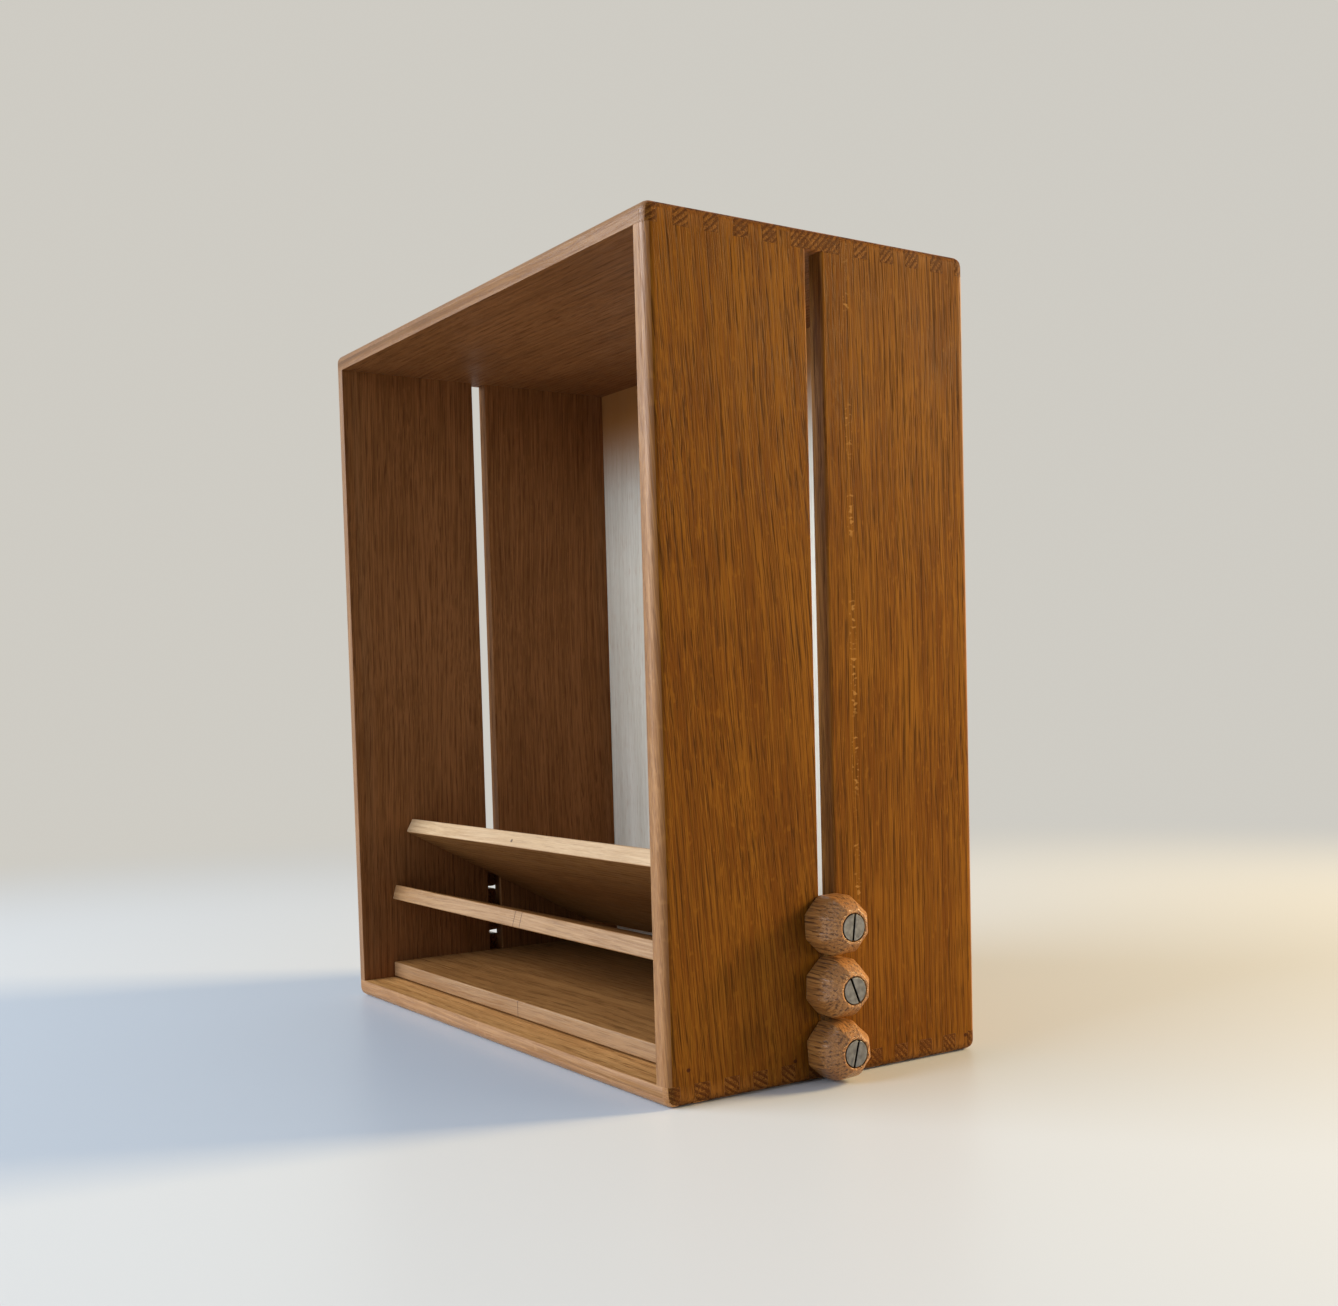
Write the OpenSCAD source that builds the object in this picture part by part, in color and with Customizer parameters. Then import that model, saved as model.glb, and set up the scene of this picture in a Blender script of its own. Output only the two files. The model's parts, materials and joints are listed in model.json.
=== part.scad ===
// Document organizer: an upright oak box with an open front. Three shelves hang on
// clamping knobs that run in a slot down the middle of each side.
// Millimetres, +Z up, front towards -Y. The origin is the middle of the underside.

/* [Box] */
// Width of the box over its sides
box_w = 340; // [260:1:460]
// Depth of the box from front to back
box_d = 172; // [164:1:260]
// Height of the box
box_h = 368; // [300:1:520]
// Thickness of the boards
board_t = 9; // [8:0.5:14]
// Rounding of the four finger jointed corners
corner_r = 4; // [1:0.5:6]
// Rounding of the outer edges at the front and back
edge_r = 4.2; // [0.5:0.1:4.5]

/* [Finger joints and slots] */
// Width of one finger, and of the space between two fingers
finger_w = 7.4; // [5:0.1:12]
// Width of the narrow finger at the front and back edge
edge_finger_w = 6; // [4:0.5:10]
// Least width of the broad finger that closes the end of a slot
broad_finger_least = 24; // [20:1:40]
// Width of the slot in each side
slot_w = 8.4; // [7:0.1:14]
// Rounding of the outer edges of the slots
slot_ease = 1.2; // [0.3:0.1:2]
// How far the slots lie in front of the middle of the depth
slot_forward = 1.5; // [0:0.5:6]

/* [Back panel] */
// Thickness of the back panel
panel_t = 2.5; // [2:0.5:6]
// Width of the rebate that the panel lies in
rebate_w = 4; // [3:0.5:5]
// Play round the panel in its rebate
panel_play = 0.2; // [0.1:0.1:0.5]
// Diameter of a panel pin
pin_d = 1.2; // [0.8:0.1:1.6]
// Length of a panel pin
pin_len = 14; // [10:1:20]
// Diameter of a pin's head
pin_head_d = 2.4; // [1.8:0.1:3]
// Thickness of a pin's head
pin_head_t = 0.6; // [0.4:0.1:1]
// Greatest distance between two pins
pin_spacing = 105; // [60:5:160]
// Distance of the outer pins from the inside corner of the box
pin_inset = 18; // [8:1:40]

/* [Shelves] */
// Thickness of a shelf
shelf_t = 8.5; // [7.5:0.5:11]
// Depth of a shelf in front of its screws
shelf_front = 66; // [55:1:72]
// Depth of a shelf behind its screws
shelf_rear = 70; // [55:1:76]
// How much further back the lower, middle and upper shelves hang on their screws
shelf_set_back = [0, -1, 5]; // [-3:1:6]
// Play between a shelf end and the side
shelf_play = 0.5; // [0.3:0.1:1.5]
// Easing of the long edges of a shelf
shelf_ease = 0.8; // [0.3:0.1:1.5]
// Gap between the back edge of the middle shelf and the lower shelf
middle_gap = 0.6; // [0.4:0.1:3]
// Gap between the back edge of the upper shelf and the middle shelf
upper_gap = 1.4; // [0.4:0.1:3]

/* [Knobs] */
// Knob across its flats
knob_flats = 25.8; // [24:0.1:32]
// Knob across its softened corners
knob_corners = 27.1; // [25:0.1:34]
// Length of the straight foot of a knob
knob_foot = 8; // [4:0.5:10]
// Length of a knob from the side to its face
knob_len = 18.5; // [15:0.5:26]
// Face of a knob across its flats
knob_face = 14.6; // [14:0.1:18]
// How much the facets of a knob swell, as a share of their slope
knob_swell = 0.2; // [0:0.05:0.25]
// Gap between two knobs that stand above each other
knob_gap = 0.3; // [0.2:0.1:2]
// Gap between a knob and the side
knob_seat = 0.15; // [0.1:0.05:0.3]
// Turn of the lower, middle and upper knobs
knob_turns = [4, -3, 2]; // [-22:1:22]

/* [Screws] */
// Diameter of a screw
screw_d = 5; // [4:0.5:6]
// Diameter of a screw's head
head_d = 11.5; // [10:0.5:13]
// Thickness of a screw's head
head_t = 3.2; // [2.5:0.1:5]
// Gap round a screw's head
head_ring = 0.5; // [0.2:0.1:0.6]
// Width of the driver slot in a screw's head
driver_w = 1; // [0.6:0.1:2]
// Depth of the driver slot
driver_depth = 1.5; // [1:0.1:2]
// Lean of the driver slots of the lower, middle and upper screws from upright
driver_turns = [-14, 22, -7]; // [-90:1:90]
// Length of screw inside a shelf
screw_grip = 14; // [10:1:20]

/* [Inserts and bushes] */
// Outside diameter of a threaded insert
insert_d = 6.8; // [6:0.1:7.2]
// Length of a threaded insert
insert_len = 16; // [14:1:24]
// Play of a bush between the boards of a side
bush_play = 0.1; // [0.05:0.05:0.3]
// Distance of a bush from the faces of the side
bush_inset = 0.2; // [0.1:0.1:1]
// Radial clearance of a screw in its insert, bush and knob
screw_fit = 0.05; // [0.03:0.01:0.1]
// Radial clearance of a pin or an insert in the wood
wood_fit = 0.05; // [0.03:0.01:0.1]

/* [Hidden] */
$fn = 64;
oak_side = "#7c4716";
oak_edge = "#a97a4c";
oak_shelf = "#b48d63";
oak_knob = "#7a5233";
pale_panel = "#b9b2a4";
steel = "#a9abab";
brass = "#b08d3e";

levels = ["lower", "middle", "upper"];
sides = ["left", "right"];
halves = ["front", "rear"];

inner_w = box_w - 2 * board_t;
slot_y = -slot_forward;
past = 1;

// Fingers of one half of a corner, counted from the outer edge to the broad finger
finger_pitch = 2 * finger_w;
finger_room = box_d / 2 - edge_finger_w - broad_finger_least / 2 - finger_w;
finger_count = floor(finger_room / finger_pitch);

// The panel and the pins round it
panel_w = inner_w + 2 * rebate_w;
panel_h = box_h - 2 * board_t + 2 * rebate_w;
panel_y = box_d / 2 - panel_t;
pin_x = inner_w / 2 + rebate_w / 2;
pin_low = board_t - rebate_w / 2;
pin_high = box_h - pin_low;
pin_row_x = inner_w / 2 - pin_inset;
pin_row_z = box_h / 2 - board_t - pin_inset;
pins_across = ceil(2 * pin_row_x / pin_spacing);
pins_up = ceil(2 * pin_row_z / pin_spacing);

// The pivots stand above each other as close as the knobs allow
bush_d = slot_w - 2 * bush_play;
pivot_step = knob_corners + knob_gap;
pivot_low = max(board_t + bush_d / 2 + bush_play, knob_corners / 2 + knob_gap);
function pivot_z(level) = pivot_low + level * pivot_step;

// Each shelf leans back until its lower back edge nearly meets the shelf below
shelf_len = inner_w - 2 * shelf_play;
function front_of(level) = shelf_front - shelf_set_back[level];
function rear_of(level) = shelf_rear + shelf_set_back[level];
function rear_reach(level) = sqrt(pow(rear_of(level), 2) + pow(shelf_t / 2, 2));
function rear_angle(level) = atan(shelf_t / 2 / rear_of(level));
function lean(level, room) = asin(min(room / rear_reach(level), 1)) - rear_angle(level);
middle_lean = lean(1, pivot_step - shelf_t / 2 - middle_gap);
upper_lean = middle_lean + lean(2, pivot_step * cos(middle_lean) - shelf_t / 2 - upper_gap);
leans = [0, middle_lean, upper_lean];

screw_reach = board_t + shelf_play + screw_grip;
head_seat = knob_seat + knob_len - head_t;

// Rectangle with round corners, about its middle
module round_rect(w, h, r) {
  square([w - 2 * r, h], center = true);
  square([w, h - 2 * r], center = true);
  for (x = [-1, 1])
    for (y = [-1, 1])
      translate([x * (w / 2 - r), y * (h / 2 - r)])
        circle(r = r);
}

// The outside of the whole box, rounded along every outer edge
module box_outside() {
  translate([0, 0, box_h / 2])
    intersection() {
      rotate([90, 0, 0])
        linear_extrude(box_d, center = true)
          round_rect(box_w, box_h, corner_r);
      linear_extrude(box_h, center = true)
        round_rect(box_w, box_d, edge_r);
      rotate([90, 0, 90])
        linear_extrude(box_w, center = true)
          round_rect(box_d, box_h, edge_r);
    }
}

// Ends of one side board: the tongues that pass between the fingers of the top or bottom board
module tongues(side, half, height) {
  for (i = [0:finger_count]) {
    start = box_d / 2 - edge_finger_w - finger_w - i * finger_pitch;
    translate([side > 0 ? inner_w / 2 : -box_w / 2, half > 0 ? start : -start - finger_w, 0])
      cube([board_t, finger_w, height]);
  }
}

// Space of the back panel in the back edges of the boards
module panel_rebate() {
  translate([-panel_w / 2, panel_y, board_t - rebate_w])
    cube([panel_w, panel_t + past, panel_h]);
}

// Puts its children at every panel pin, with the pin's head towards +Z of the child
module at_pins() {
  for (i = [0:pins_across])
    for (z = [pin_low, pin_high])
      translate([-pin_row_x + 2 * pin_row_x * i / pins_across, box_d / 2, z])
        rotate([-90, 0, 0])
          children();
  for (i = [0:pins_up])
    for (x = [-pin_x, pin_x])
      translate([x, box_d / 2, box_h / 2 - pin_row_z + 2 * pin_row_z * i / pins_up])
        rotate([-90, 0, 0])
          children();
}

// One pin, its head level with the back of the panel. The holes are drawn with a clearance
module pin(clearance) {
  translate([0, 0, -pin_len - clearance])
    cylinder(d = pin_d + 2 * clearance, h = pin_len + clearance);
  translate([0, 0, -pin_head_t - clearance])
    cylinder(d = pin_head_d + 2 * clearance, h = pin_head_t + 2 * clearance);
}

// Top or bottom board, with its lower face at height z
module flat_board(z) {
  intersection() {
    box_outside();
    difference() {
      translate([-box_w / 2, -box_d / 2, z])
        cube([box_w, box_d, board_t]);
      translate([0, 0, z - past])
        for (side = [-1, 1])
          for (half = [-1, 1])
            tongues(side, half, board_t + 2 * past);
      panel_rebate();
      at_pins()
        pin(wood_fit);
    }
  }
}

module top_board() {
  color(oak_edge)
    flat_board(box_h - board_t);
}

module bottom_board() {
  color(oak_edge)
    flat_board(0);
}

// Rectangle between two opposite corners
module rect_between(a, b) {
  translate([min(a.x, b.x), min(a.y, b.y)])
    square([abs(b.x - a.x), abs(b.y - a.y)]);
}

// Plan of one side board, from the slot to the front or back edge, with the slot's outer edge rounded
module side_plan(side, half) {
  inner = side * inner_w / 2;
  outer = side * box_w / 2;
  slot_wall = slot_y + half * slot_w / 2;
  far_edge = half * box_d / 2;
  rect_between([inner, slot_wall], [outer - side * slot_ease, far_edge]);
  rect_between([inner, slot_wall + half * slot_ease], [outer, far_edge]);
  translate([outer - side * slot_ease, slot_wall + half * slot_ease])
    circle(r = slot_ease);
}

// One of the two boards of a side
module side_board(side, half) {
  color(oak_side)
    intersection() {
      box_outside();
      difference() {
        union() {
          translate([0, 0, board_t])
            linear_extrude(box_h - 2 * board_t)
              side_plan(side, half);
          tongues(side, half, box_h);
        }
        if (half > 0) panel_rebate();
        if (half > 0) at_pins() pin(wood_fit);
      }
    }
}

module back_panel() {
  color(pale_panel)
    difference() {
      translate([-panel_w / 2 + panel_play, panel_y, board_t - rebate_w + panel_play])
        cube([panel_w - 2 * panel_play, panel_t, panel_h - 2 * panel_play]);
      at_pins()
        pin(wood_fit);
    }
}

module panel_pins() {
  color(steel)
    at_pins()
      pin(0);
}

// Puts its children on the pivot of one shelf, with +Z pointing out of the side from its outer face
module at_pivot(level, side) {
  translate([side * box_w / 2, slot_y, pivot_z(level)])
    rotate([0, side * 90, 0])
      children();
}

module shelf(level) {
  color(oak_shelf)
    difference() {
      translate([0, slot_y, pivot_z(level)])
        rotate([-leans[level], 0, 0])
          rotate([90, 0, 90])
            linear_extrude(shelf_len, center = true)
              translate([(rear_of(level) - front_of(level)) / 2, 0])
                round_rect(front_of(level) + rear_of(level), shelf_t, shelf_ease);
      for (side = [-1, 1])
        at_pivot(level, side)
          translate([0, 0, -board_t - shelf_play - insert_len - wood_fit])
            cylinder(d = insert_d + 2 * wood_fit, h = insert_len + shelf_play);
    }
}

// Half the width of a knob, and the distance from its foot, part of the way along its slope
function knob_half(share) =
  (knob_flats - (knob_flats - knob_face) * share * (1 - 4 * knob_swell * (1 - share))) / 2;
function knob_out(share) = knob_foot + (knob_len - knob_foot) * share;

// Eight flats with softened corners, and eight swelling facets that slope from the foot to the face
module knob(level, side) {
  slope = [for (i = [0:4]) [knob_half(i / 4), knob_out(i / 4)]];
  mirrored = [for (i = [4:-1:0]) [-slope[i].x, slope[i].y]];
  outline = concat([[-knob_flats / 2, 0], [knob_flats / 2, 0]], slope, mirrored);
  color(oak_knob)
    at_pivot(level, side)
      translate([0, 0, knob_seat])
        difference() {
          intersection() {
            intersection_for (i = [0:3])
              rotate([90, 0, 45 * i + knob_turns[level]])
                linear_extrude(2 * knob_corners, center = true)
                  polygon(outline);
            cylinder(d = knob_corners, h = knob_len);
          }
          translate([0, 0, -past])
            cylinder(d = screw_d + 2 * screw_fit, h = knob_len);
          translate([0, 0, knob_len - head_t])
            cylinder(d = head_d + 2 * head_ring, h = head_t + past);
        }
}

module screw(level, side) {
  color(steel)
    at_pivot(level, side)
      difference() {
        union() {
          translate([0, 0, -screw_reach])
            cylinder(d = screw_d, h = screw_reach + head_seat + past);
          translate([0, 0, head_seat])
            cylinder(d = head_d, h = head_t);
        }
        rotate([0, 0, side * driver_turns[level]])
          translate([-head_d, -driver_w / 2, head_seat + head_t - driver_depth])
            cube([2 * head_d, driver_w, driver_depth + past]);
      }
}

module insert(level, side) {
  color(brass)
    at_pivot(level, side)
      translate([0, 0, -board_t - shelf_play - insert_len])
        difference() {
          cylinder(d = insert_d, h = insert_len);
          translate([0, 0, -past])
            cylinder(d = screw_d + 2 * screw_fit, h = insert_len + 2 * past);
        }
}

module bush(level, side) {
  color(brass)
    at_pivot(level, side)
      translate([0, 0, -board_t + bush_inset])
        difference() {
          cylinder(d = bush_d, h = board_t - 2 * bush_inset);
          translate([0, 0, -past])
            cylinder(d = screw_d + 2 * screw_fit, h = board_t + 2 * past);
        }
}

top_board();
bottom_board();
for (s = [0, 1])
  for (h = [0, 1])
    side_board(2 * s - 1, 2 * h - 1);
back_panel();
panel_pins();
for (l = [0:2])
  shelf(l);
for (l = [0:2])
  for (s = [0, 1]) {
    knob(l, 2 * s - 1);
    screw(l, 2 * s - 1);
    insert(l, 2 * s - 1);
    bush(l, 2 * s - 1);
  }
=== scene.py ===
import json
import math

import bmesh
import bpy
from mathutils import Matrix, Quaternion, Vector, noise

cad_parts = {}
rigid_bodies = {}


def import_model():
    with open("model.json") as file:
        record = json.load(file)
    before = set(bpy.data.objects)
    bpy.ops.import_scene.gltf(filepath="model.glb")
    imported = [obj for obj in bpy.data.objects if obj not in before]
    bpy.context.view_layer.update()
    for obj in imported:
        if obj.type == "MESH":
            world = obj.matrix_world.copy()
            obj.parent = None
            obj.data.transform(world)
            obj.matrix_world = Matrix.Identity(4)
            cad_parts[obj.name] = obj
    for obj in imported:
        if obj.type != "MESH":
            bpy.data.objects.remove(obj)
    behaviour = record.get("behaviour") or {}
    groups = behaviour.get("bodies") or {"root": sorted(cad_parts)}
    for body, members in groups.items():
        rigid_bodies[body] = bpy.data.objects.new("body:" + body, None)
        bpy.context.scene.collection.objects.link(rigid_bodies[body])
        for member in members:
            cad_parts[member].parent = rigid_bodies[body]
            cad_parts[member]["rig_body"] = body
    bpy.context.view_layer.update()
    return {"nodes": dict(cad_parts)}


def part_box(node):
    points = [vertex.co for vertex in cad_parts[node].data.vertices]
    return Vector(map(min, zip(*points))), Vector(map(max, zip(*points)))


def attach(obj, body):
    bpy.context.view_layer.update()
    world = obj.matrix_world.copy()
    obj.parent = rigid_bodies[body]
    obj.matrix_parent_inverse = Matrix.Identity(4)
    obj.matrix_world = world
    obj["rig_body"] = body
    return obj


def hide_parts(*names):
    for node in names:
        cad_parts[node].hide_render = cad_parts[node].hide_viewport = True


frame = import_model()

# Bottom board
# A planed oak board, 9 mm thick, with both ends cut into fingers for the glued corner joints.
# The grain runs across the box, so the fingers show end grain on the sides. Its edges are paler: partly wear,
# partly painted sheen.
MM = 0.001
BOARD_EASE = 0.35 * MM
JOINT_EASE = 0.09 * MM
ACROSS = Vector((1, 0, 0))
GRAIN_ALONG_X = (0, math.radians(-90), 0)
END_TONES = {"light": (0.225, 0.088, 0.017), "brown": (0.085, 0.027, 0.005), "pore": (0.045, 0.013, 0.002)}
# Paler tones on the long front and back edges, here and for the other boards, are partly wear and partly
# painted sheen.
EDGE_TONES = {"light": (0.43, 0.198, 0.072), "brown": (0.30, 0.124, 0.038), "pore": (0.14, 0.050, 0.014)}
# The bottom board's pale tones are painted light: they stand in for the light on its strip in front of the
# lower shelf.
BOTTOM_TONES = {"light": (0.66, 0.325, 0.112), "brown": (0.48, 0.210, 0.060), "pore": (0.18, 0.065, 0.017)}
PALE_FLECK = (0.48, 0.24, 0.06)
MARK_BROWN = (0.035, 0.009, 0.004)
BOTTOM_PITH = (-250 * MM, 220 * MM, 0)
BOX_ROUNDING = 4.2 * MM
SLOT_EDGE_WEIGHT = 0.3
MERGE_REACH = 0.002 * MM
FLAT_ANGLE = math.radians(0.5)
SHARP_ANGLE = math.radians(40)
SHADE_ANGLE = math.radians(50)
END_LEAN = 0.7
EDGE_LEAN = 0.35
EDGE_LEAN_START = 0.3
EDGE_LEAN_SPREAD = 0.6
panel_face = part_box("back_panel")[0].y
inside_low = Vector((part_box("left_front_board")[1].x, panel_face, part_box("bottom_board")[1].z))
inside_high = Vector((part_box("right_front_board")[0].x, panel_face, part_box("top_board")[0].z))


def new_finish(name):
    """Makes a new material, and returns short ways to add nodes to it. The last of them, finish, sets the
    shader's sockets and returns the material."""
    made = bpy.data.materials.new(name)
    made.use_nodes = True
    tree = made.node_tree

    def plug(part, sockets):
        for key, value in sockets.items():
            if isinstance(value, bpy.types.NodeSocket):
                tree.links.new(value, part.inputs[key])
            else:
                part.inputs[key].default_value = value

    def add(kind, sockets, output=0, **settings):
        part = tree.nodes.new("ShaderNode" + kind)
        for key, value in settings.items():
            setattr(part, key, value)
        plug(part, sockets)
        return part.outputs[output]

    def maths(operation, first, second=0.0):
        return add("Math", {0: first, 1: second}, operation=operation)

    def between(value, low, high, start=0.0, end=1.0):
        return add("MapRange", {0: value, 1: low, 2: high, 3: start, 4: end}, interpolation_type="SMOOTHSTEP")

    def mixed(share, first, second):
        return add("MixRGB", {"Fac": share, "Color1": first, "Color2": second})

    def grained(place, across, along, detail, output=0):
        scaled = add("VectorMath", {0: place, 1: (1 / across, 1 / across, 1 / along)}, operation="MULTIPLY")
        return add("TexNoise", {"Vector": scaled, "Scale": 1.0, "Detail": detail, "Roughness": 0.55}, output)

    def finish(sockets):
        plug(tree.nodes["Principled BSDF"], sockets)
        return made

    return add, maths, between, mixed, grained, finish


def oak(name, turn, pith, tones, edge_tones=None, ring=2.8 * MM, ring_share=0.3, line_share=0.75,
        pore_share=0.6, pore_width=0.45 * MM, pore_run=17 * MM, shine=0.04, rough=0.45, relief=0.4, wax=0.0,
        marks=(), flecks=None, cover=None):
    """Solid oiled oak: year rings round a pith outside the board, pore lines, fibres and ray flecks.
    turn lays the grain along Z, and pith then moves the heart of the tree to the Z axis.
    marks are small dark spots, flecks is the middle of a pale column, and behind cover the wood is darkened
    towards the pore tone: painted shade."""
    add, maths, between, mixed, grained, finish = new_finish(name)
    here = add("TexCoord", {}, "Object")
    laid = add("Mapping", {"Vector": here, "Rotation": turn, "Location": pith})

    # The stem sways a little along its length, so the rings wander.
    sway = grained(laid, 55 * MM, 210 * MM, 1.0, "Color")
    centred = add("VectorMath", {0: sway, 1: (0.5, 0.5, 0.5)}, operation="SUBTRACT")
    shift = add("VectorMath", {0: centred, 1: (10 * MM, 10 * MM, 0)}, operation="MULTIPLY")
    grown = add("VectorMath", {0: laid, 1: shift}, operation="ADD")
    flat = add("VectorMath", {0: grown, 1: (1, 1, 0)}, operation="MULTIPLY")
    radius = add("VectorMath", {0: flat}, "Value", operation="LENGTH")
    year = maths("FRACT", maths("DIVIDE", radius, ring))
    early = maths("MULTIPLY", between(year, 0.0, 0.1), between(year, 0.3, 0.7, 1.0, 0.0))

    # Pores crowd in the early wood of each ring, and the rays are thin sheets that point at the pith.
    crowd = maths("ADD", maths("MULTIPLY", early, 0.55), 0.45)
    lines = maths("MULTIPLY", between(grained(grown, 0.65 * MM, 42 * MM, 1.0), 0.54, 0.63), crowd)
    pores = maths("MULTIPLY", between(grained(grown, pore_width, pore_run, 1.0), 0.51, 0.62), crowd)
    fibres = grained(grown, 0.65 * MM, 45 * MM, 2.0)
    bands = grained(grown, 8 * MM, 230 * MM, 2.0)
    clouds = add("TexNoise", {"Vector": here, "Scale": 13.0, "Detail": 2.0})
    parts = add("SeparateXYZ", {0: grown}).node
    turned = maths("ARCTAN2", parts.outputs["Y"], parts.outputs["X"])
    sheets = add("CombineXYZ", {"X": maths("DIVIDE", radius, 9 * MM),
                                "Y": maths("MULTIPLY", turned, 160.0),
                                "Z": maths("DIVIDE", parts.outputs["Z"], 5 * MM)})
    rays = between(add("TexNoise", {"Vector": sheets, "Scale": 1.0, "Detail": 1.0}), 0.60, 0.74)

    # The colour goes from the broad tones down to single marks.
    palette = {key: (*tones[key], 1) for key in tones}
    if edge_tones:
        edge = add("Attribute", {}, "Fac", attribute_name="edge_share")
        palette = {key: mixed(edge, (*tones[key], 1), (*edge_tones[key], 1)) for key in tones}
    tone = maths("ADD", maths("MULTIPLY", bands, 0.25), maths("MULTIPLY", fibres, 0.55))
    tone = maths("ADD", tone, maths("MULTIPLY", clouds, 0.2))
    colour = mixed(between(tone, 0.42, 0.58), palette["brown"], palette["light"])
    colour = mixed(maths("MULTIPLY", early, ring_share), colour, palette["brown"])
    colour = mixed(maths("MULTIPLY", rays, 0.5), colour, palette["light"])
    colour = mixed(maths("MULTIPLY", pores, pore_share), colour, palette["pore"])
    colour = mixed(maths("MULTIPLY", lines, line_share), colour, palette["pore"])
    # Painted shade: behind the line the wood is darkened, as shade under the shelf that stands there.
    if cover:
        shaded = between(add("SeparateXYZ", {0: here}, "Y"), cover - 0.3 * MM, cover + 0.3 * MM)
        colour = mixed(maths("MULTIPLY", shaded, 0.8), colour, (*tones["pore"], 1))
    if flecks:
        aside = add("VectorMath", {0: here, 1: flecks}, operation="SUBTRACT")
        column = between(maths("ABSOLUTE", add("SeparateXYZ", {0: aside}, "Y")), 2.2 * MM, 1.2 * MM)
        dashes = between(grained(here, 2.5 * MM, 1.4 * MM, 0.0), 0.58, 0.70)
        places = between(grained(here, 60 * MM, 16 * MM, 0.0), 0.44, 0.60, 0.0, 0.4)
        column = maths("MULTIPLY", column, places)
        colour = mixed(maths("MULTIPLY", column, dashes), colour, (*PALE_FLECK, 1))
    for centre, size in marks:
        aside = add("VectorMath", {0: here, 1: centre}, operation="SUBTRACT")
        scaled = add("VectorMath", {0: aside, 1: size}, operation="DIVIDE")
        reach = add("VectorMath", {0: scaled}, "Value", operation="LENGTH")
        colour = mixed(between(reach, 1.0, 0.6, 0.0, 0.85), colour, (*MARK_BROWN, 1))

    # Lines and pores are hollows, and a little duller than the wood round them.
    hollow = maths("ADD", maths("MULTIPLY", lines, 0.7), maths("MULTIPLY", pores, 0.5))
    height = maths("SUBTRACT", maths("MULTIPLY", fibres, 0.35), hollow)
    smudges = add("TexNoise", {"Vector": here, "Scale": 26.0, "Detail": 4.0})
    handled = between(smudges, 0.3, 0.7, rough - 0.07, rough + 0.08)
    dull = maths("ADD", handled, maths("MULTIPLY", hollow, 0.2))
    bumps = add("Bump", {"Height": height, "Strength": relief, "Distance": 0.25 * MM}, "Normal")
    return finish({"Base Color": colour, "Roughness": dull, "Normal": bumps, "Specular IOR Level": shine,
                   "Coat Weight": wax, "Coat Roughness": 0.22, "Coat Normal": bumps})


def in_corner(place):
    """True for a point in one of the four corners where the boards are finger jointed."""
    play = 0.2 * MM
    outside = place.x < inside_low.x + play or place.x > inside_high.x - play
    return outside and not inside_low.z + play < place.z < inside_high.z - play


def round_corners(copy):
    """Works the outer corners of the box to balls where three roundings meet."""
    low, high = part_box("bottom_board")[0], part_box("top_board")[1]
    for axis in range(3):
        for depth in (BOX_ROUNDING, 0.6 * BOX_ROUNDING):
            for spot in (low[axis] + depth, high[axis] - depth):
                way = Vector(int(i == axis) for i in range(3))
                bmesh.ops.bisect_plane(copy, geom=copy.verts[:] + copy.edges[:] + copy.faces[:],
                                       plane_co=spot * way, plane_no=way)
    play = 0.01 * MM
    for corner in copy.verts:
        heart = Vector(min(max(corner.co[i], low[i] + BOX_ROUNDING), high[i] - BOX_ROUNDING)
                       for i in range(3))
        out = corner.co - heart
        if min(abs(part) for part in out) > play and out.length > BOX_ROUNDING:
            corner.co = heart + out * (BOX_ROUNDING / out.length)


def finished_copy(node, ease, grain, slot, finishes):
    """A merged copy of one solid with its sharp edges eased. Faces across the grain take the second finish,
    and long edges at the front and back the third. The attribute edge_share is 1 on those long edges,
    less on the edges along the slots, and 0 on the broad faces."""
    copy = bmesh.new()
    copy.from_mesh(frame["nodes"][node].data)
    bmesh.ops.remove_doubles(copy, verts=copy.verts, dist=MERGE_REACH)
    bmesh.ops.dissolve_limit(copy, angle_limit=FLAT_ANGLE, verts=copy.verts, edges=copy.edges)
    broad = max(copy.faces, key=lambda face: face.calc_area()).normal.copy()
    sharp = [e for e in copy.edges if e.is_manifold and e.calc_face_angle() > SHARP_ANGLE]
    tight = [e for e in sharp if in_corner((e.verts[0].co + e.verts[1].co) / 2)]
    free = [e for e in sharp if e not in tight]
    bmesh.ops.bevel(copy, geom=free, offset=ease, offset_type="OFFSET", segments=2, profile=0.5,
                    affect="EDGES", material=-1)
    tight = [e for e in tight if e.is_valid]
    bmesh.ops.bevel(copy, geom=tight, offset=JOINT_EASE, offset_type="OFFSET", segments=1, profile=0.5,
                    affect="EDGES", material=-1)
    if slot == "oak_board":
        round_corners(copy)
    copy.normal_update()
    edge_way = broad.cross(grain)
    edge_share = copy.verts.layers.float.new("edge_share")
    # edge_share mixes in the paler edge tones, which are partly wear and partly painted sheen.
    for corner in copy.verts:
        edge_weight = 1 if abs(corner.co.y) > panel_face / 2 else SLOT_EDGE_WEIGHT
        lean = abs(corner.normal.dot(edge_way))
        corner[edge_share] = edge_weight * min(max((lean - EDGE_LEAN_START) / EDGE_LEAN_SPREAD, 0), 1)
    for face in copy.faces:
        face.smooth = True
        if abs(face.normal.dot(grain)) > END_LEAN:
            face.material_index = 1
        elif len(finishes) > 2 and abs(face.normal.dot(edge_way)) > EDGE_LEAN:
            handled = abs(face.calc_center_median().y) > panel_face / 2
            face.material_index = 2 if handled else 0
    mesh = bpy.data.meshes.new(node + "_finished")
    copy.to_mesh(mesh)
    copy.free()
    mesh.set_sharp_from_angle(angle=SHADE_ANGLE)
    for finish in finishes:
        mesh.materials.append(finish)
    piece = bpy.data.objects.new(node + "_finished", mesh)
    bpy.context.scene.collection.objects.link(piece)
    level = piece.modifiers.new("level faces", "WEIGHTED_NORMAL")
    level.keep_sharp = True
    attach(piece, frame["nodes"][node]["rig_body"])
    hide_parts(node)
    return piece


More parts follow.
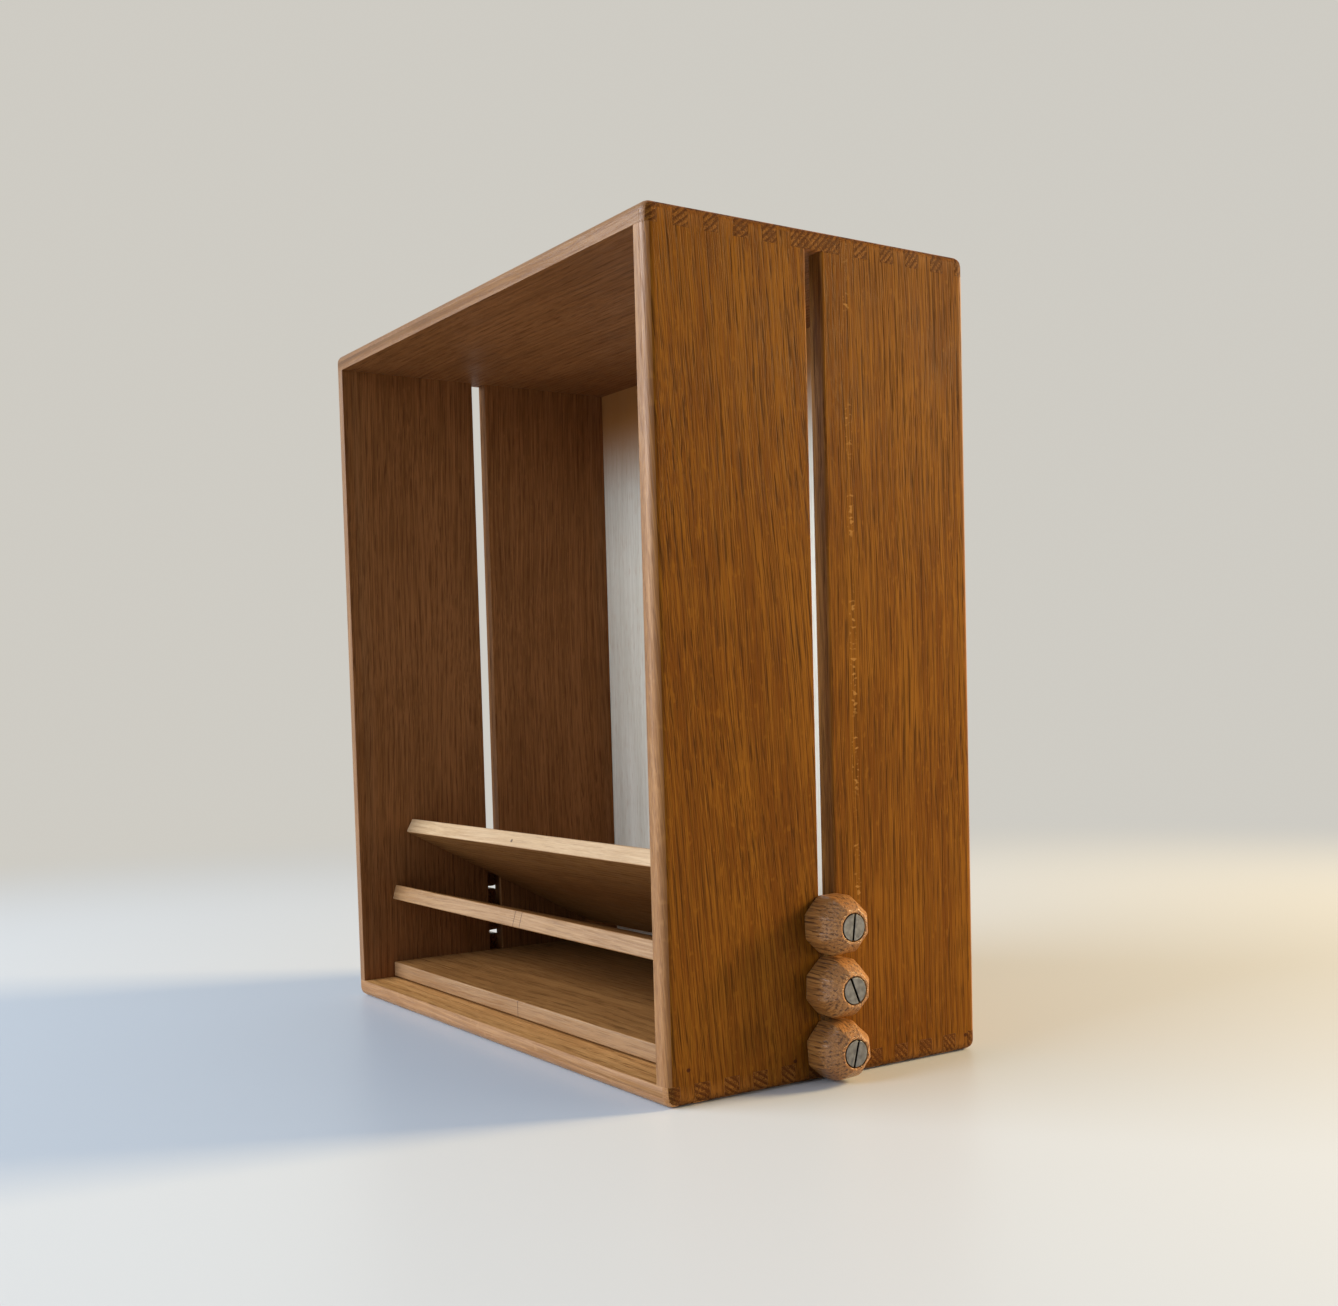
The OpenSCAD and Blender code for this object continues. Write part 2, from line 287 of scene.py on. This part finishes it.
def board_finishes(name, turn, pith, tones, edge_tones, line_share=0.75, **extras):
    """Faces, end grain and long front and back edges of one oak board; the edges are paler, partly wear and
    partly painted sheen.
    """
    soft = 0.5 * line_share
    return [
        oak("oak_" + name, turn, pith, tones, edge_tones, line_share=line_share, **extras),
        oak("oak_" + name + "_ends", turn, pith, END_TONES, ring_share=0.95, ring=2.3 * MM),
        oak("oak_" + name + "_edges", turn, pith, tones, edge_tones, line_share=soft, pore_share=soft,
            shine=0.3, rough=0.38, **extras),
    ]


# The bottom board gets painted shade behind the lower shelf's front, where the shelf shades it.
lower_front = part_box("lower_shelf")[0].y
bottom_oak = board_finishes("bottom_board", GRAIN_ALONG_X, BOTTOM_PITH, BOTTOM_TONES, EDGE_TONES,
                            line_share=0.6, cover=lower_front)
finished_copy("bottom_board", BOARD_EASE, ACROSS, "oak_board", bottom_oak)

# Side boards
# Each side is two oak boards with the grain upright, glued between the fingers of the top and bottom.
# The gap left between them is the slot for the shelf screws. Small nail marks show near the bottom.
UPWARD = Vector((0, 0, 1))
BOARD_TONES = {"light": (0.206, 0.076, 0.007), "brown": (0.122, 0.038, 0.004), "pore": (0.040, 0.013, 0.002)}
INSIDE_TONES = {"light": (0.33, 0.130, 0.042), "brown": (0.22, 0.083, 0.024), "pore": (0.095, 0.031, 0.009)}
LEFT_EDGE_TONES = {"light": (0.32, 0.150, 0.060), "brown": (0.22, 0.095, 0.033), "pore": (0.11, 0.040, 0.012)}
NAIL = (1.3 * MM, 1.2 * MM, 1.1 * MM)
face_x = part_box("right_front_board")[1].x
SIDE_BOARDS = {
    "right_front": {
        "turn": (math.radians(-4.0), math.radians(1.5), 0), "pith": (30 * MM, 300 * MM, 0),
        "tones": BOARD_TONES, "edge_tones": EDGE_TONES,
        "marks": [((face_x, -20.8 * MM, 10.3 * MM), NAIL), ((face_x, -75.7 * MM, 15.1 * MM), NAIL)],
    },
    "right_rear": {
        "turn": (math.radians(-0.7), math.radians(0.5), 0), "pith": (-60 * MM, 130 * MM, 50 * MM),
        "tones": BOARD_TONES, "edge_tones": EDGE_TONES, "flecks": (face_x, 16 * MM, 0),
        "marks": [((face_x, 78.9 * MM, 7.4 * MM), NAIL)],
    },
    "left_front": {
        "turn": (math.radians(1.5), math.radians(-1), 0), "pith": (110 * MM, 140 * MM, 90 * MM),
        "tones": INSIDE_TONES, "edge_tones": LEFT_EDGE_TONES, "line_share": 0.45,
    },
    "left_rear": {
        "turn": (math.radians(0.8), math.radians(0.6), 0), "pith": (70 * MM, -150 * MM, 20 * MM),
        "tones": INSIDE_TONES, "edge_tones": LEFT_EDGE_TONES, "line_share": 0.45,
    },
}
for board, look in SIDE_BOARDS.items():
    side_oak = board_finishes(board + "_board", **look)
    finished_copy(board + "_board", BOARD_EASE, UPWARD, "oak_board", side_oak)

# Top board
# The same planed oak board as the bottom, with fingers that lock over the tongues of the sides.
# It comes from another plank, so its rings cross the fingers the other way.
TOP_EDGE_TONES = {"light": (0.27, 0.115, 0.034), "brown": (0.19, 0.071, 0.018), "pore": (0.09, 0.030, 0.008)}
TOP_PITH = (614 * MM, 250 * MM, 40 * MM)
top_oak = board_finishes("top_board", GRAIN_ALONG_X, TOP_PITH, INSIDE_TONES, TOP_EDGE_TONES, line_share=0.5)
finished_copy("top_board", BOARD_EASE, ACROSS, "oak_board", top_oak)

# Back panel and its pins
# A thin plywood panel laid in a rebate in the boards' back edges and held by small steel pins all round.
# Its inner face is pale, and the strip under the top board is painted brown: painted shade from the top
# board. Its back is brown.
PALE_PLY = (0.80, 0.70, 0.58)
TAN_PLY = (0.66, 0.56, 0.44)
BROWN_PLY = (0.42, 0.17, 0.045)
BACK_LIGHT = (0.25, 0.110, 0.033)
BACK_DARK = (0.17, 0.070, 0.020)
SHADED_STRIP = (70 * MM, 15 * MM)
PANEL_EASE = 0.15 * MM
PIN_STEEL = (0.36, 0.35, 0.33)


def plywood(name, pale, tan, shaded=False):
    """Plywood with a fine upright grain. A shaded face gets painted shade: it turns brown towards the top
    board.
    """
    add, maths, between, mixed, grained, finish = new_finish(name)
    here = add("TexCoord", {}, "Object")
    fibres = grained(here, 0.9 * MM, 80 * MM, 3.0)
    bands = grained(here, 12 * MM, 300 * MM, 2.0)
    pores = between(grained(here, 0.6 * MM, 9 * MM, 1.0), 0.55, 0.68)
    tone = maths("ADD", maths("MULTIPLY", fibres, 0.5), maths("MULTIPLY", bands, 0.5))
    colour = mixed(between(tone, 0.36, 0.64), (*tan, 1), (*pale, 1))
    colour = mixed(maths("MULTIPLY", pores, 0.25), colour, (*BROWN_PLY, 1))
    # Painted shade: brown is mixed in over the strip below the top board, where the top board shades the
    # panel.
    if shaded:
        height = add("SeparateXYZ", {0: here}, "Z")
        shade = between(height, inside_high.z - SHADED_STRIP[0], inside_high.z - SHADED_STRIP[1])
        colour = mixed(shade, colour, (*BROWN_PLY, 1))
    bumps = add("Bump", {"Height": fibres, "Strength": 0.2, "Distance": 0.15 * MM}, "Normal")
    dull = between(bands, 0.3, 0.7, 0.36, 0.5)
    return finish({"Base Color": colour, "Roughness": dull, "Normal": bumps, "Specular IOR Level": 0.3})


panel_finishes = [plywood("pale_panel_painted_shade", PALE_PLY, TAN_PLY, shaded=True),
                  plywood("brown_panel", BACK_LIGHT, BACK_DARK)]
panel = finished_copy("back_panel", PANEL_EASE, UPWARD, "pale_panel", panel_finishes)
for face in panel.data.polygons:
    faces_front = face.normal.y <= -0.5
    face.material_index = 0 if faces_front else 1


def metal(name, colour, rough, streak):
    """Worn metal with fine turning lines of the given stretch and a little tarnish."""
    add, _, between, mixed, _, finish = new_finish(name)
    here = add("TexCoord", {}, "Object")
    lay = add("Mapping", {"Vector": here, "Scale": streak})
    lines = add("TexNoise", {"Vector": lay, "Scale": 1.0, "Detail": 3.0})
    stain = add("TexNoise", {"Vector": here, "Scale": 420.0, "Detail": 4.0})
    dark = tuple(0.6 * part for part in colour)
    tone = mixed(between(stain, 0.3, 0.7), (*dark, 1), (*colour, 1))
    dull = between(lines, 0.3, 0.7, rough - 0.06, rough + 0.12)
    bumps = add("Bump", {"Height": lines, "Strength": 0.25, "Distance": 0.05 * MM}, "Normal")
    return finish({"Base Color": tone, "Roughness": dull, "Normal": bumps, "Metallic": 1.0})


pin_steel = metal("steel_pins", PIN_STEEL, 0.42, (1500, 1500, 1500))
for slot in frame["nodes"]["panel_pins"].material_slots:
    slot.material = pin_steel

# Shelves
# Three planed oak shelves, each of another plank, with eased long edges. Their ends run clear of the sides.
# Each hangs on two screws. The lower one is level, and the others lean back nearly to the shelf below.
SHELF_EASE = 0.3 * MM
SHELF_TONES = {"light": (0.40, 0.178, 0.055), "brown": (0.27, 0.108, 0.030), "pore": (0.11, 0.039, 0.010)}
SHELF_PITH = {
    "lower": (60 * MM, 35 * MM, 15 * MM),
    "middle": (130 * MM, -20 * MM, 130 * MM),
    "upper": (150 * MM, 60 * MM, 70 * MM),
}
# The front edges are painted lighter the higher the shelf: painted light, since the upper shelf's edge faces
# the window most openly.
SHELF_EDGE_TONES = {
    "lower": {"light": (0.39, 0.210, 0.098), "brown": (0.29, 0.140, 0.058), "pore": (0.14, 0.058, 0.021)},
    "middle": {"light": (0.43, 0.230, 0.105), "brown": (0.32, 0.155, 0.063), "pore": (0.16, 0.068, 0.025)},
    "upper": {"light": (0.62, 0.395, 0.215), "brown": (0.50, 0.295, 0.150), "pore": (0.27, 0.135, 0.058)},
}
HAIRLINE = (0.35 * MM, 9 * MM, 9 * MM)
SHELF_MARKS = {
    "lower": [((-1.6 * MM, -67.5 * MM, 14.8 * MM), HAIRLINE)],
    "middle": [((-5.5 * MM, -66 * MM, 59.2 * MM), HAIRLINE), ((1.7 * MM, -66 * MM, 59.2 * MM), HAIRLINE)],
    "upper": [((-26.4 * MM, -55.7 * MM, 96.7 * MM), NAIL)],
}
for level, pith in SHELF_PITH.items():
    shelf_oak = board_finishes(level + "_shelf", GRAIN_ALONG_X, pith, SHELF_TONES, SHELF_EDGE_TONES[level],
                               line_share=0.6, marks=SHELF_MARKS[level])
    finished_copy(level + "_shelf", SHELF_EASE, ACROSS, "oak_shelf", shelf_oak)

# Inserts and bushes
# Turned brass: a threaded insert in each shelf end, and a bush that fills the slot round each screw.
# The knobs and the shelf ends all but hide them.
BRASS = (0.69, 0.52, 0.24)
fitting_brass = metal("turned_brass", BRASS, 0.34, (2500, 300, 300))
for level in SHELF_PITH:
    for side in ("left", "right"):
        for fitting in ("insert", "bush"):
            for slot in frame["nodes"][f"{level}_{side}_{fitting}"].material_slots:
                slot.material = fitting_brass

# Knobs
# Small oak knobs cut by hand, each clamped on its shelf's screw: an eight-sided foot, eight swelling facets
# and a round recess for the screw head. The grain runs along the screw, so the foot shows lines,
# and the facets show pits and uneven cuts.
KNOB_TONES = {"light": (0.44, 0.195, 0.055), "brown": (0.28, 0.112, 0.030), "pore": (0.075, 0.025, 0.007)}
KNOB_FLATS = 25.8 * MM
KNOB_CORNERS = 27.1 * MM
KNOB_FACE = 14.6 * MM
KNOB_LENGTH = 18.5 * MM
KNOB_FOOT = 8 * MM
KNOB_SWELL = 0.2
KNOB_RECESS = 12.5 * MM
RECESS_DEPTH = 3.2 * MM
KNOB_BORE = 5.1 * MM
KNOB_TURN = {"lower": 4, "middle": -3, "upper": 2}
KNOB_PITH = (33 * MM, 18 * MM, 0)
KNOB_STEPS = 192
FOOT_STEPS = 8
SLOPE_STEPS = 10
FOOT_EASE = 0.3 * MM
SHOULDER_EASE = 0.1 * MM
RECESS_EASE = 0.2 * MM
FACE_SINK = 0.05 * MM
CORNER_SHARPNESS = 260
CUT_DEPTH = 0.22 * MM
CUT_SIZE = 5 * MM
PIT_SIZE = 1.3 * MM
knob_oak = oak("oak_knob", GRAIN_ALONG_X, KNOB_PITH, KNOB_TONES, ring=1.9 * MM, ring_share=0.5,
               line_share=0.4, pore_share=0.85, pore_width=0.8 * MM, pore_run=14 * MM, shine=0.3,
               rough=0.38, relief=0.9, wax=0.4)


def knob_slope(share):
    """Half the width of a knob, and its distance from the side, at a share of the way from foot to face."""
    half = (KNOB_FLATS - (KNOB_FLATS - KNOB_FACE) * share * (1 - 4 * KNOB_SWELL * (1 - share))) / 2
    return half, KNOB_FOOT + (KNOB_LENGTH - KNOB_FOOT) * share


foot_straight = KNOB_FOOT - FOOT_EASE - SHOULDER_EASE
knob_profile = [
    (KNOB_BORE / 2, 0),
    (KNOB_FLATS / 2 - FOOT_EASE, 0),
    (KNOB_FLATS / 2, FOOT_EASE),
    *[(KNOB_FLATS / 2, FOOT_EASE + foot_straight * i / FOOT_STEPS) for i in range(1, FOOT_STEPS + 1)],
    *[knob_slope(0.02 + 0.94 * i / SLOPE_STEPS) for i in range(SLOPE_STEPS + 1)],
    (KNOB_FACE / 2 - SHOULDER_EASE, KNOB_LENGTH - FACE_SINK),
    (KNOB_RECESS / 2 + RECESS_EASE, KNOB_LENGTH - FACE_SINK),
    (KNOB_RECESS / 2, KNOB_LENGTH - FACE_SINK - RECESS_EASE),
    (KNOB_RECESS / 2, KNOB_LENGTH - RECESS_DEPTH),
    (KNOB_BORE / 2, KNOB_LENGTH - RECESS_DEPTH),
]


def eight_sided(place):
    """How much further out than the flats a point lies, on eight flats with slightly softened corners."""
    angle = math.atan2(place.y, place.x)
    spread = sum(abs(math.cos(angle - i * math.pi / 4)) ** CORNER_SHARPNESS for i in range(4))
    return spread ** (-1 / CORNER_SHARPNESS)


def cut_knob(level, side):
    """One knob, lathed along Z, cut to eight sides and then laid on its pivot. Its own place in the noise
    makes its cuts differ from the other knobs'."""
    node = f"{level}_{side}_knob"
    low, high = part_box(node)
    outward = 1 if side == "right" else -1
    knob = bmesh.new()
    rim = [knob.verts.new((r, 0, z)) for r, z in knob_profile]
    edges = [knob.edges.new(pair) for pair in zip(rim, rim[1:])]
    bmesh.ops.subdivide_edges(knob, edges=edges[0:1], cuts=4)
    bmesh.ops.spin(knob, geom=knob.verts[:] + knob.edges[:], cent=(0, 0, 0), axis=(0, 0, 1),
                   angle=2 * math.pi, steps=KNOB_STEPS, use_merge=True)
    bmesh.ops.remove_doubles(knob, verts=knob.verts, dist=0.001 * MM)
    bmesh.ops.bridge_loops(knob, edges=[e for e in knob.edges if e.is_boundary])
    bmesh.ops.recalc_face_normals(knob, faces=knob.faces)
    for corner in knob.verts:
        reach = corner.co.xy.length
        if reach > (KNOB_RECESS + RECESS_EASE) / 2:
            cut = min(reach * eight_sided(corner.co), KNOB_CORNERS / 2)
            uneven = 0.5 + noise.noise(corner.co / CUT_SIZE + low * 100)
            pitted = 0.5 + noise.noise(corner.co / PIT_SIZE + low * 300)
            cut -= CUT_DEPTH * max(0.7 * uneven + 0.3 * pitted, 0)
            corner.co.xy *= cut / reach
    turned = Matrix.Rotation(math.radians(KNOB_TURN[level]), 4, "Z")
    centre = Vector((low.x if outward > 0 else high.x, (low.y + high.y) / 2, (low.z + high.z) / 2))
    knob.transform(Matrix.Translation(centre) @ Matrix.Rotation(outward * math.pi / 2, 4, "Y") @ turned)
    mesh = bpy.data.meshes.new(node + "_cut")
    knob.to_mesh(mesh)
    knob.free()
    mesh.shade_smooth()
    mesh.set_sharp_from_angle(angle=SHADE_ANGLE)
    mesh.materials.append(knob_oak)
    piece = bpy.data.objects.new(node + "_cut", mesh)
    bpy.context.scene.collection.objects.link(piece)
    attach(piece, node)
    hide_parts(node)


for level in SHELF_PITH:
    for side in ("left", "right"):
        cut_knob(level, side)

# Screws
# Steel machine screws with flat slotted heads, level with the knobs' faces and with a dark ring round them.
# Years of turning have worn the heads, and the slots are dark.
SCREW_EASE = 0.15 * MM
SLOT_DEPTHS = (0.25 * MM, 1.6 * MM)
HEAD_REACH = 5.6 * MM
WORN_STEEL = (0.26, 0.25, 0.24)
SLOT_DARK = (0.035, 0.03, 0.028)
screw_steel = metal("steel_screws", WORN_STEEL, 0.36, (300, 2200, 240))
slot_painted_shade = metal("steel_slot_painted_shade", SLOT_DARK, 0.6, (900, 900, 900))
for level in SHELF_PITH:
    for side in ("left", "right"):
        node = f"{level}_{side}_screw"
        low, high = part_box(node)
        screw = finished_copy(node, SCREW_EASE, UPWARD, "steel_screw", [screw_steel, slot_painted_shade])
        middle = (low + high) / 2
        head_face = high.x if side == "right" else -low.x
        for face in screw.data.polygons:
            depth = head_face - abs(face.center.x)
            reach = math.hypot(face.center.y - middle.y, face.center.z - middle.z)
            # Faces inside the slots take the near-black finish: painted shade in the slots.
            in_slot = SLOT_DEPTHS[0] < depth < SLOT_DEPTHS[1] and reach < HEAD_REACH
            face.material_index = int(in_slot)

# Floor and background
# A plain pale floor, matt enough for a soft shadow.
# It fades into a pale background, so that no edge shows behind the box.
FLOOR_RADIUS = 4.0
FLOOR_GAP = 0.3 * MM
FLOOR_GREY = (0.57, 0.58, 0.61)
FLOOR_ROUGHNESS = 0.4
FADE = (0.55, 1.3)
PALE = (0.62, 0.60, 0.55)
SKY_BLUE = (0.74, 0.86, 1.0)
SKY_STRENGTH = 0.3
floor_disc = bmesh.new()
bmesh.ops.create_circle(floor_disc, cap_ends=True, radius=FLOOR_RADIUS, segments=96)
bmesh.ops.translate(floor_disc, vec=(0, 0, -FLOOR_GAP), verts=floor_disc.verts)
floor_mesh = bpy.data.meshes.new("floor")
floor_disc.to_mesh(floor_mesh)
floor_disc.free()
floor = bpy.data.objects.new("floor", floor_mesh)
bpy.context.scene.collection.objects.link(floor)
add, maths, between, _, _, finish = new_finish("pale_floor")
floor_paint = finish({"Base Color": (*FLOOR_GREY, 1), "Roughness": FLOOR_ROUGHNESS})
floor_nodes = floor_paint.node_tree.nodes
floor_reach = add("VectorMath", {0: add("TexCoord", {}, "Object")}, "Value", operation="LENGTH")
floor_fade = maths("MULTIPLY", between(floor_reach, *FADE), add("LightPath", {}, "Is Camera Ray"))
floor_glow = add("Emission", {"Color": (*PALE, 1)})
floor_matt = floor_nodes["Principled BSDF"].outputs["BSDF"]
floor_mix = add("MixShader", {0: floor_fade, 1: floor_matt, 2: floor_glow})
floor_paint.node_tree.links.new(floor_mix, floor_nodes["Material Output"].inputs["Surface"])
floor_mesh.materials.append(floor_paint)

world = bpy.data.worlds.new("studio")
bpy.context.scene.world = world
world.use_nodes = True
sky = world.node_tree
ambient = sky.nodes["Background"]
ambient.inputs["Color"].default_value = (*SKY_BLUE, 1)
ambient.inputs["Strength"].default_value = SKY_STRENGTH
backdrop = sky.nodes.new("ShaderNodeBackground")
backdrop.inputs["Color"].default_value = (*PALE, 1)
sky_ray = sky.nodes.new("ShaderNodeLightPath")
sees_backdrop = sky_ray.outputs["Is Camera Ray"]
for ray in ("Is Transmission Ray", "Is Glossy Ray"):
    either = sky.nodes.new("ShaderNodeMath")
    either.operation = "MAXIMUM"
    sky.links.new(sees_backdrop, either.inputs[0])
    sky.links.new(sky_ray.outputs[ray], either.inputs[1])
    sees_backdrop = either.outputs["Value"]
sky_mix = sky.nodes.new("ShaderNodeMixShader")
sky.links.new(sees_backdrop, sky_mix.inputs["Fac"])
sky.links.new(ambient.outputs["Background"], sky_mix.inputs[1])
sky.links.new(backdrop.outputs["Background"], sky_mix.inputs[2])
sky.links.new(sky_mix.outputs["Shader"], sky.nodes["World Output"].inputs["Surface"])


# Studio light
# A warm lamp behind the right side, a broad window of cool light in front and to the left, and a white card
# low on the right that throws some light back. None of them shows in the picture.
def soft_light(name, place, aim, size, watts, colour, mirrored=True):
    """A flat rectangular lamp at place that faces aim. Shiny surfaces mirror it unless mirrored is False."""
    lamp = bpy.data.lights.new(name, "AREA")
    lamp.shape = "RECTANGLE"
    lamp.size, lamp.size_y = size
    lamp.energy = watts
    lamp.color = colour
    holder = bpy.data.objects.new(name, lamp)
    holder.location = place
    holder.rotation_euler = (Vector(place) - Vector(aim)).to_track_quat("Z", "Y").to_euler()
    holder.visible_camera = False
    holder.visible_glossy = mirrored
    bpy.context.scene.collection.objects.link(holder)


BOX_MIDDLE = (0, 0, 0.18)
RIGHT_FOOT = (0.17, 0, 0.03)
WARM = (1.0, 0.76, 0.38)
COOL = (0.72, 0.86, 1.0)
CREAM = (1.0, 0.90, 0.72)
soft_light("warm_lamp", (0.80, 1.95, 0.98), BOX_MIDDLE, (0.6, 0.6), 84, WARM)
soft_light("window", (-0.6, -1.8, 1.0), BOX_MIDDLE, (2.4, 1.1), 80, COOL)
soft_light("card", (0.75, 0.42, 0.14), RIGHT_FOOT, (0.5, 0.24), 2.6, CREAM, mirrored=False)

# Camera
# The photograph's view, from the right of the open front and a little above the floor.
# The picture is a crop, so the lens axis lies off its middle.
CAMERA_PLACE = (0.71326, -0.42117, 0.16938)
CAMERA_AZIMUTH = 54.508
CAMERA_ELEVATION = 3.106
CAMERA_ROLL = -1.349
FRAME_WIDTH = 1338
FRAME_HEIGHT = 1306
FOCAL_PIXELS = 1574.5
AXIS_PIXEL = (764.28, 779.87)
lens = bpy.data.cameras.new("camera")
lens.lens = FOCAL_PIXELS / FRAME_WIDTH * lens.sensor_width
lens.shift_x = (FRAME_WIDTH / 2 - AXIS_PIXEL[0]) / FRAME_WIDTH
lens.shift_y = (AXIS_PIXEL[1] - FRAME_HEIGHT / 2) / FRAME_WIDTH
lens.clip_start = 0.05
camera = bpy.data.objects.new("camera", lens)
azimuth = math.radians(CAMERA_AZIMUTH)
elevation = math.radians(CAMERA_ELEVATION)
backward = Vector((math.sin(azimuth) * math.cos(elevation), -math.cos(azimuth) * math.cos(elevation),
                   math.sin(elevation)))
roll = Quaternion((0, 0, 1), math.radians(CAMERA_ROLL))
camera.location = CAMERA_PLACE
camera.rotation_euler = (backward.to_track_quat("Z", "Y") @ roll).to_euler()
bpy.context.scene.collection.objects.link(camera)
bpy.context.scene.camera = camera
bpy.context.scene.view_settings.view_transform = "Standard"
